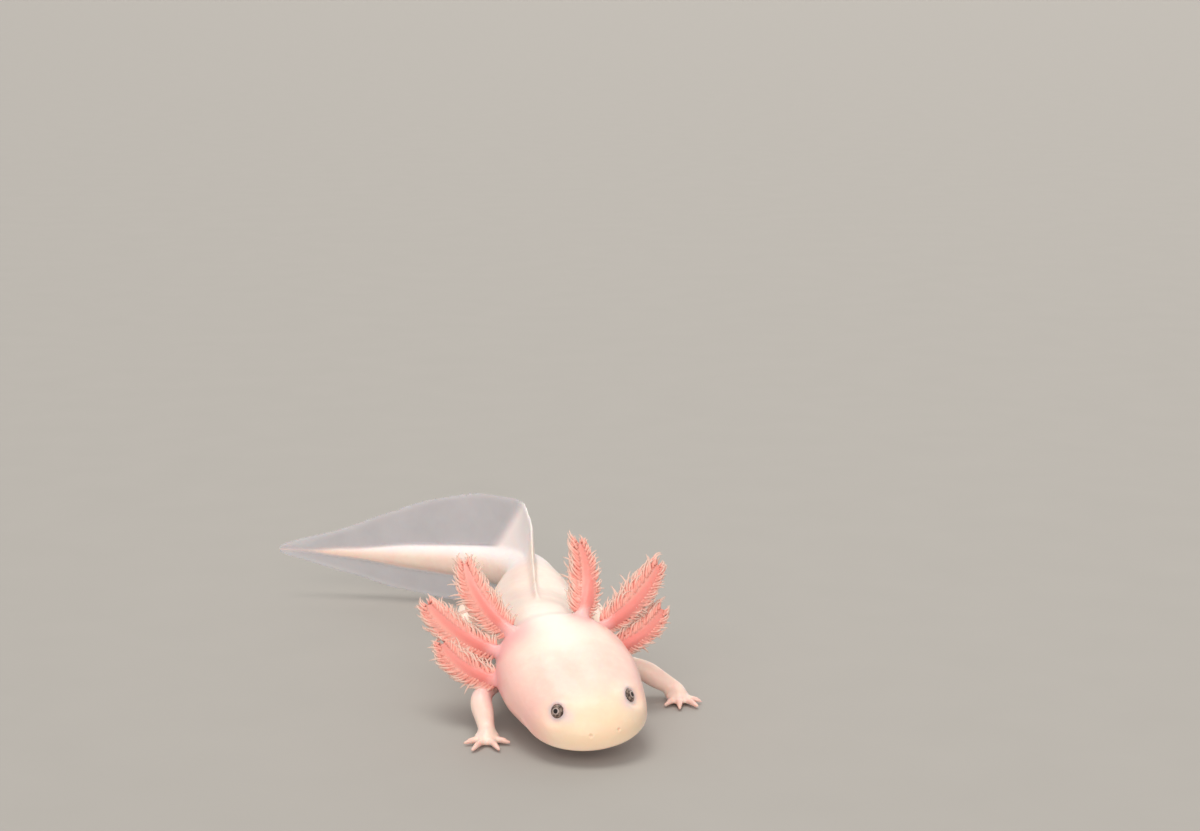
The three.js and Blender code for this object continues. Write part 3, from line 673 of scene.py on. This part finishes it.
# Millimetres across. Real grain and pores are finer, and are drawn this coarse so that they show.
CLOUD_WIDTH, MOTTLE_WIDTH, GRAIN_WIDTH, PORE_GAP = 7.7, 1.6, 0.53, 0.77
LIGHT_DEPTH = 1.6  # millimetres that light spreads in the flesh
GRAIN_HEIGHT = 0.12  # millimetres
skin_material, tree = new_material("moist_leucistic_skin")
where = add_node(tree, "TexCoord").outputs["Object"]
clouds = add_node(tree, "TexNoise", {"Scale": 1 / (CLOUD_WIDTH * MM), "Detail": 3, "Roughness": 0.55},
                  {"Vector": where})
cloud_share = add_node(tree, "MapRange", {"From Min": 0.36, "From Max": 0.64}, {"Value": clouds.outputs[0]})
base = add_node(tree, "Mix", {6: linear(CREAM), 7: linear(SHELL_PINK)}, {0: cloud_share.outputs[0]},
                data_type="RGBA")
mottle = add_node(tree, "TexNoise", {"Scale": 1 / (MOTTLE_WIDTH * MM), "Detail": 4, "Roughness": 0.6},
                  {"Vector": where})
mottle_share = add_node(tree, "MapRange", {"From Min": 0.45, "From Max": 0.72, "To Max": 0.3},
                        {"Value": mottle.outputs[0]})
base = add_node(tree, "Mix", {7: linear(IVORY)}, {0: mottle_share.outputs[0], 6: base.outputs[2]},
                data_type="RGBA")
for name, strength, colour in SKIN_TINTS:
    marking = add_node(tree, "Attribute", attribute_name=name)
    share = add_node(tree, "Math", {1: strength}, {0: marking.outputs["Fac"]}, operation="MULTIPLY")
    base = add_node(tree, "Mix", {7: linear(colour)}, {0: share.outputs[0], 6: base.outputs[2]},
                    data_type="RGBA")
fin_tone = add_node(tree, "Mix", {6: linear(FIN_DARK), 7: linear(FIN_LIGHT)}, {0: cloud_share.outputs[0]},
                    data_type="RGBA")
margin_share = add_node(tree, "Attribute", attribute_name="margin")
fin_tone = add_node(tree, "Mix", {7: linear(FIN_MARGIN)},
                    {0: margin_share.outputs["Fac"], 6: fin_tone.outputs[2]}, data_type="RGBA")
fin_share = add_node(tree, "Attribute", attribute_name="fin")
base = add_node(tree, "Mix", {}, {0: fin_share.outputs["Fac"], 6: base.outputs[2], 7: fin_tone.outputs[2]},
                data_type="RGBA")
opacity = add_node(tree, "MapRange", {"To Min": 1.0, "To Max": FIN_OPACITY},
                   {"Value": fin_share.outputs["Fac"]})
grain = add_node(tree, "TexNoise", {"Scale": 1 / (GRAIN_WIDTH * MM), "Detail": 3, "Roughness": 0.6},
                 {"Vector": where})
pores = add_node(tree, "TexVoronoi", {"Scale": 1 / (PORE_GAP * MM)}, {"Vector": where}, feature="SMOOTH_F1")
relief = add_node(tree, "Math", {}, {0: grain.outputs[0], 1: pores.outputs["Distance"]}, operation="ADD")
bumped = add_node(tree, "Bump", {"Strength": 0.22, "Distance": GRAIN_HEIGHT * MM},
                  {"Height": relief.outputs[0]})
rough = add_node(tree, "MapRange", {"To Min": 0.34, "To Max": 0.5}, {"Value": mottle.outputs[0]})
surface = add_node(tree, "BsdfPrincipled", {
    "Subsurface Weight": 0.4, "Subsurface Radius": (1.0, 0.42, 0.28),
    "Subsurface Scale": LIGHT_DEPTH * MM,
    "IOR": 1.4, "Coat Weight": 0.35, "Coat Roughness": 0.12, "Coat IOR": 1.36},
    {"Base Color": base.outputs[2], "Roughness": rough.outputs[0], "Normal": bumped.outputs[0],
     "Alpha": opacity.outputs[0]})
add_node(tree, "OutputMaterial", {}, {"Surface": surface.outputs[0]})
skin.data.materials.append(skin_material)

flesh = [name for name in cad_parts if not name.startswith("eye_")]
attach(skin, "root")
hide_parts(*flesh)

# ---------------------------------------------------------------- tail muscle
# The fins are clear enough to show where the muscle of the tail ends, so it is a form of its own just under
# the skin, in the same flesh and as pale along its top, a paleness that is partly painted light from above.
CORE_FROM, CORE_TO, CORE_INSET = 84.0, 140.0, 0.2
CORE_ROUND = 0.05  # share of its length in which each end closes


def core_point(t, angle):
    s = CORE_FROM + (CORE_TO - CORE_FROM) * t
    middle = from_spine(s, 0 * s, 0 * s)
    size = core_share(s) * end_fill(t, CORE_ROUND) * end_fill(1 - t, CORE_ROUND)
    return middle + (body_point(s, angle, -CORE_INSET) - middle) * size[:, None]


core_mesh = bmesh.new()
add_form(core_mesh, 48, 160, core_point)
core = bpy.data.objects.new("tail_muscle", bpy.data.meshes.new("tail_muscle"))
bpy.context.scene.collection.objects.link(core)
core_mesh.to_mesh(core.data)
core_mesh.free()
core_at = np.array([v.co for v in core.data.vertices]) / MM
core_s, _, core_up = to_spine(core_at)
# Paler along its top: cream flesh, made whiter by painted light from above.
top_paleness_and_painted_light = np.clip(smooth_step(0.1, 0.85, core_up / DEPTH_ABOVE(core_s)), 0, 1)
layer = core.data.attributes.new("tail_top_cream_and_painted_light", "FLOAT", "POINT")
layer.data.foreach_set("value", top_paleness_and_painted_light.astype(np.float32))
core.data.shade_smooth()
core.data.materials.append(skin_material)
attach(core, "root")

# ---------------------------------------------------------------- gill fringe
# Each gill carries soft filaments along both edges of its blade and in rows down its back. They are full of
# blood at the root, and thin out to a nearly clear tip that curls like a hook in still water. They are drawn
# thicker and fewer than real ones, so that each one shows.
FILAMENT_ROOT, FILAMENT_TIP = 0.3, 0.1  # radius in millimetres
FILAMENT_SIDES, FILAMENT_RINGS = 5, 8
FILAMENT_GAP = 0.6  # millimetres between the roots of a row
# Rows of one side: where across the blade's half width it is rooted, how far in front of the blade's middle
# in millimetres, its angle towards the back, its share of the gill's own free length, how far it curls, and
# whether it has a filament at each step or at every second one.
FILAMENT_ROWS = [(0.42, 0.2, 0.12, 1.0, 1.0, 1), (0.8, 0.0, 0.35, 1.0, 1.1, 1),
                 (0.6, -0.25, 0.8, 0.8, 0.7, 2), (0.2, -0.3, 1.1, 0.5, 0.5, 2)]
FRINGE_FROM, FRINGE_LONG = 0.1, 0.89  # shares of the gill's length
LEAN_AT_ROOT, LEAN_LOST, LEAN_STRAY = 66, 48, 6  # degrees off the gill's own direction
CURL, CURLED_BACK = 95, 0.15  # degrees, and the share of filaments that curl the other way
UV_PATCH = 0.003  # share of the baked picture's side that one filament takes
FRINGE_SEED = 11
FILAMENT_FLESH_DARK, FILAMENT_FLESH_LIGHT, FILAMENT_CLEAR = "#f09c90", "#f4b0a3", "#fbdccf"

# Gill flesh: salmon with blood, each filament a little lighter or darker, paling and clearing to the tip.
fringe_material, tree = new_material("gill_filament_flesh")
root_to_tip = add_node(tree, "Attribute", attribute_name="toward_tip")
shade = add_node(tree, "Attribute", attribute_name="shade")
flesh_tone = add_node(tree, "Mix", {6: linear(FILAMENT_FLESH_DARK), 7: linear(FILAMENT_FLESH_LIGHT)},
                      {0: shade.outputs["Fac"]}, data_type="RGBA")
paling = add_node(tree, "MapRange", {"From Min": 0.22, "From Max": 0.72},
                  {"Value": root_to_tip.outputs["Fac"]}, interpolation_type="SMOOTHSTEP")
tone = add_node(tree, "Mix", {7: linear(FILAMENT_CLEAR)}, {0: paling.outputs[0], 6: flesh_tone.outputs[2]},
                data_type="RGBA")
opacity = add_node(tree, "MapRange", {"From Min": 0.35, "From Max": 0.9, "To Min": 1.0, "To Max": 0.55},
                   {"Value": root_to_tip.outputs["Fac"]}, interpolation_type="SMOOTHSTEP")
surface = add_node(tree, "BsdfPrincipled", {
    "Roughness": 0.42, "IOR": 1.4, "Coat Weight": 0.2, "Coat Roughness": 0.2},
    {"Base Color": tone.outputs[2], "Alpha": opacity.outputs[0]})
add_node(tree, "OutputMaterial", {}, {"Surface": surface.outputs[0]})

filament_mesh = bmesh.new()
bmesh.ops.create_cone(filament_mesh, segments=FILAMENT_SIDES, radius1=1, radius2=1, depth=1, cap_ends=True)
lengthwise = [e for e in filament_mesh.edges if abs(e.verts[0].co.z - e.verts[1].co.z) > 0.5]
bmesh.ops.subdivide_edges(filament_mesh, edges=lengthwise, cuts=FILAMENT_RINGS - 2)
filament = bpy.data.meshes.new("one_filament")
filament_mesh.to_mesh(filament)
filament_round = np.array([v.co for v in filament_mesh.verts])
filament_mesh.free()
filament_far = filament_round[:, 2] + 0.5
filament_ring = np.rint(filament_far * (FILAMENT_RINGS - 1)).astype(int)
ring_share = np.arange(FILAMENT_RINGS) / (FILAMENT_RINGS - 1)

for number, gill in enumerate(GILLS):
    chance = random.Random(number + FRINGE_SEED)
    fringe_mesh = bmesh.new()
    count = int(gill["length"] / FILAMENT_GAP)
    spots, shades, patches = [], [], []
    for i in range(count):
        rows = [(edge, *row) for edge in (-1, 1) for row in FILAMENT_ROWS if i % row[-1] == 0]
        for edge, inset, before, turned_back, free, hook, _ in rows:
            t = FRINGE_FROM + FRINGE_LONG * (i + chance.uniform(0.1, 0.9)) / count
            place, ahead = on_line(gill["line"], np.array(t))
            across = unit(np.cross(STALK_FRONT, ahead))
            behind = unit(np.cross(across, ahead))
            if behind @ STALK_FRONT > 0:
                behind = -behind
            angle = turned_back + chance.uniform(-0.15, 0.15)
            out = across * edge * math.cos(angle) + behind * math.sin(angle)
            stray = chance.uniform(-LEAN_STRAY, LEAN_STRAY)
            lean = math.radians(LEAN_AT_ROOT - LEAN_LOST * t ** 1.5 + stray)
            curled = -math.radians(CURL) * hook * chance.uniform(0.35, 1.15)
            if chance.random() < CURLED_BACK:
                curled = -0.4 * curled
            length = free * gill["fringe"][edge > 0] * (0.6 + 0.4 * math.sin(math.pi * (0.05 + 0.75 * t)))
            length = length * chance.uniform(0.75, 1.1) * (1 - 0.35 * float(smooth_step(0.75, 1, t)))
            length += gill["half"](t) * (1 - inset)
            bend = lean + curled * ring_share ** 1.7
            ways = ahead * np.cos(bend)[:, None] + out * np.sin(bend)[:, None]
            ways += behind * chance.uniform(-0.15, 0.25) * ring_share[:, None]
            root = place + across * edge * gill["half"](t) * inset - behind * before
            steps = np.vstack([0 * ahead, np.cumsum(ways[:-1], axis=0)])
            path = root + steps * length / (FILAMENT_RINGS - 1)
            flat_way = unit(np.cross(ahead, out))
            side_ways = unit(np.cross(flat_way, ways))
            thick = FILAMENT_ROOT + (FILAMENT_TIP - FILAMENT_ROOT) * ring_share ** 0.8
            thick[-1] *= 0.5
            round_path = side_ways[filament_ring] * filament_round[:, :1] + flat_way * filament_round[:, 1:2]
            spots.append(path[filament_ring] + round_path * thick[filament_ring][:, None])
            shades.append(chance.random())
            patches.append(((number + 0.5 + 0.45 * edge * (1 - inset)) / len(GILLS), 0.04 + 0.92 * t))
            fringe_mesh.from_mesh(filament)
    fringe = bpy.data.objects.new("fringe_" + gill["name"], bpy.data.meshes.new("fringe_" + gill["name"]))
    bpy.context.scene.collection.objects.link(fringe)
    fringe_mesh.to_mesh(fringe.data)
    fringe_mesh.free()
    fringe.data.vertices.foreach_set("co", (np.concatenate(spots) * MM).ravel())
    each = len(filament_far)
    toward_tip = np.tile(filament_far, len(spots))
    for name, value in (("toward_tip", toward_tip), ("shade", np.repeat(shades, each))):
        layer = fringe.data.attributes.new(name, "FLOAT", "POINT")
        layer.data.foreach_set("value", value.astype(np.float32))
    corner_vertex = np.empty(len(fringe.data.loops), int)
    fringe.data.loops.foreach_get("vertex_index", corner_vertex)
    corner_uv = np.array(patches)[corner_vertex // each]
    corner_uv[:, 0] += UV_PATCH * filament_round[corner_vertex % each, 0] / 2
    corner_uv[:, 1] += UV_PATCH * (filament_far[corner_vertex % each] - 0.5)
    fringe.data.uv_layers.new(name="OFBake").data.foreach_set("uv", corner_uv.ravel())
    fringe.data.shade_smooth()
    fringe.data.materials.append(fringe_material)
    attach(fringe, "root")

# ---------------------------------------------------------------- eyes
# Small lidless eyes under a clear skin: a dark ball, a brown-grey iris flecked with metal, and a fine bright
# ring round the small pupil.
FLECK_WIDTH = 0.43  # millimetres across, coarser than the real flecks so that they show
IRIS_DARK, IRIS_LIGHT = "#46362f", "#a18d82"
# Millimetres from the eye's axis at which each ring begins and is full, from the outside in, and its colour.
EYE_RINGS = [(0.85, 1.2, "#3c2c28"), (0.64, 0.5, "#b8a6a2"), (0.46, 0.34, "#1d1515")]
BACK_OF_BALL = 2.0  # further out than any ring, so that the back half has the outermost one's colour
eye_material, tree = new_material("wet_eye")
from_centre = add_node(tree, "Attribute", attribute_name="from_centre")
where = add_node(tree, "TexCoord").outputs["Object"]
flecks = add_node(tree, "TexNoise", {"Scale": 1 / (FLECK_WIDTH * MM), "Detail": 2, "Roughness": 0.5},
                  {"Vector": where})
fleck_share = add_node(tree, "MapRange", {"From Min": 0.42, "From Max": 0.62}, {"Value": flecks.outputs[0]})
iris = add_node(tree, "Mix", {6: linear(IRIS_DARK), 7: linear(IRIS_LIGHT)}, {0: fleck_share.outputs[0]},
                data_type="RGBA")
for begins, full, colour in EYE_RINGS:
    share = add_node(tree, "MapRange", {"From Min": begins, "From Max": full},
                     {"Value": from_centre.outputs["Fac"]}, interpolation_type="SMOOTHSTEP")
    iris = add_node(tree, "Mix", {7: linear(colour)}, {0: share.outputs[0], 6: iris.outputs[2]},
                    data_type="RGBA")
surface = add_node(tree, "BsdfPrincipled", {
    "Roughness": 0.35, "IOR": 1.36, "Coat Weight": 0.6, "Coat Roughness": 0.08, "Coat IOR": 1.34},
    {"Base Color": iris.outputs[2]})
add_node(tree, "OutputMaterial", {}, {"Surface": surface.outputs[0]})

for name, (centre, looks) in zip(("eye_left", "eye_right"), eye_frames):
    eye_mesh = bmesh.new()
    from_axis = eye_mesh.verts.layers.float.new("from_centre")
    bmesh.ops.create_uvsphere(eye_mesh, u_segments=48, v_segments=48, radius=EYE_RADIUS * MM)
    for v in eye_mesh.verts:
        v[from_axis] = math.hypot(v.co.x, v.co.y) / MM if v.co.z > 0 else BACK_OF_BALL
    turn = Vector((0, 0, 1)).rotation_difference(Vector(looks))
    bmesh.ops.rotate(eye_mesh, verts=eye_mesh.verts, cent=(0, 0, 0), matrix=turn.to_matrix())
    bmesh.ops.translate(eye_mesh, verts=eye_mesh.verts, vec=Vector(centre) * MM)
    eye = bpy.data.objects.new("wet_" + name, bpy.data.meshes.new("wet_" + name))
    bpy.context.scene.collection.objects.link(eye)
    eye_mesh.to_mesh(eye.data)
    eye_mesh.free()
    eye.data.shade_smooth()
    eye.data.materials.append(eye_material)
    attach(eye, "root")
    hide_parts(name)

# ---------------------------------------------------------------- floor, light and camera
# A plain pale studio floor under soft light from above and in front, and a long lens a little above the
# animal, which looks at it nearly head on.
FLOOR_SIZE = 12.0  # metres from its middle to each edge
FLOOR_DARK, FLOOR_LIGHT = "#a6a4a1", "#aaa8a5"
DUST_WIDTH = 50 / 3  # millimetres across
STUDIO_TINT, STUDIO_STRENGTH = "#eceae6", 0.7
floor_mesh = bmesh.new()
bmesh.ops.create_grid(floor_mesh, x_segments=4, y_segments=4, size=FLOOR_SIZE)
floor = bpy.data.objects.new("floor", bpy.data.meshes.new("floor"))
bpy.context.scene.collection.objects.link(floor)
floor_mesh.to_mesh(floor.data)
floor_mesh.free()
floor_material, tree = new_material("matt_studio_floor")
where = add_node(tree, "TexCoord").outputs["Object"]
dust = add_node(tree, "TexNoise", {"Scale": 1 / (DUST_WIDTH * MM), "Detail": 4}, {"Vector": where})
tone = add_node(tree, "Mix", {6: linear(FLOOR_DARK), 7: linear(FLOOR_LIGHT)}, {0: dust.outputs[0]},
                data_type="RGBA")
surface = add_node(tree, "BsdfPrincipled", {"Roughness": 0.75}, {"Base Color": tone.outputs[2]})
add_node(tree, "OutputMaterial", {}, {"Surface": surface.outputs[0]})
floor.data.materials.append(floor_material)

world = bpy.data.worlds.new("studio")
bpy.context.scene.world = world
world.use_nodes = True
world.node_tree.nodes["Background"].inputs["Color"].default_value = linear(STUDIO_TINT)
world.node_tree.nodes["Background"].inputs["Strength"].default_value = STUDIO_STRENGTH
bpy.context.scene.view_settings.view_transform = "Standard"

# Soft suns reach the far floor as evenly as the animal: one high over its back, one in front of it, and a
# weak one behind that keeps the backs of the gills from going dark.
LIGHTS = [  # name, where it shines from, how wide it looks in degrees, its power and its tint
    ("overhead", (-0.1, 0.12, 1.0), 30, 1.15, "#fff8ee"),
    ("front", (-0.15, -1.0, 0.45), 50, 1.4, "#fff5ea"),
    ("behind", (0.3, 1.0, 0.5), 50, 0.5, "#fff5ea")]
for name, place, spread, power, tint in LIGHTS:
    lamp = bpy.data.lights.new(name, "SUN")
    lamp.angle = math.radians(spread)
    lamp.energy = power
    lamp.color = linear(tint)[:3]
    light = bpy.data.objects.new(name, lamp)
    light.location = place
    light.rotation_euler = (-Vector(place)).to_track_quat("-Z", "Y").to_euler()
    bpy.context.scene.collection.objects.link(light)

CAMERA_PLACE = (-0.0242, -0.4139, 0.1279)  # metres
CAMERA_TURN, CAMERA_DIP = -5.0, 11.2  # degrees
CAMERA_FOCAL, FRAME_WIDTH = 70.5, 36.0  # millimetres
lens = bpy.data.cameras.new("long_lens")
lens.lens = CAMERA_FOCAL
lens.sensor_width = FRAME_WIDTH
lens.sensor_fit = "HORIZONTAL"
lens.clip_start = 0.01
camera = bpy.data.objects.new("camera", lens)
camera.location = CAMERA_PLACE
camera.rotation_euler = (math.radians(90 - CAMERA_DIP), 0, math.radians(CAMERA_TURN))
bpy.context.scene.collection.objects.link(camera)
bpy.context.scene.camera = camera
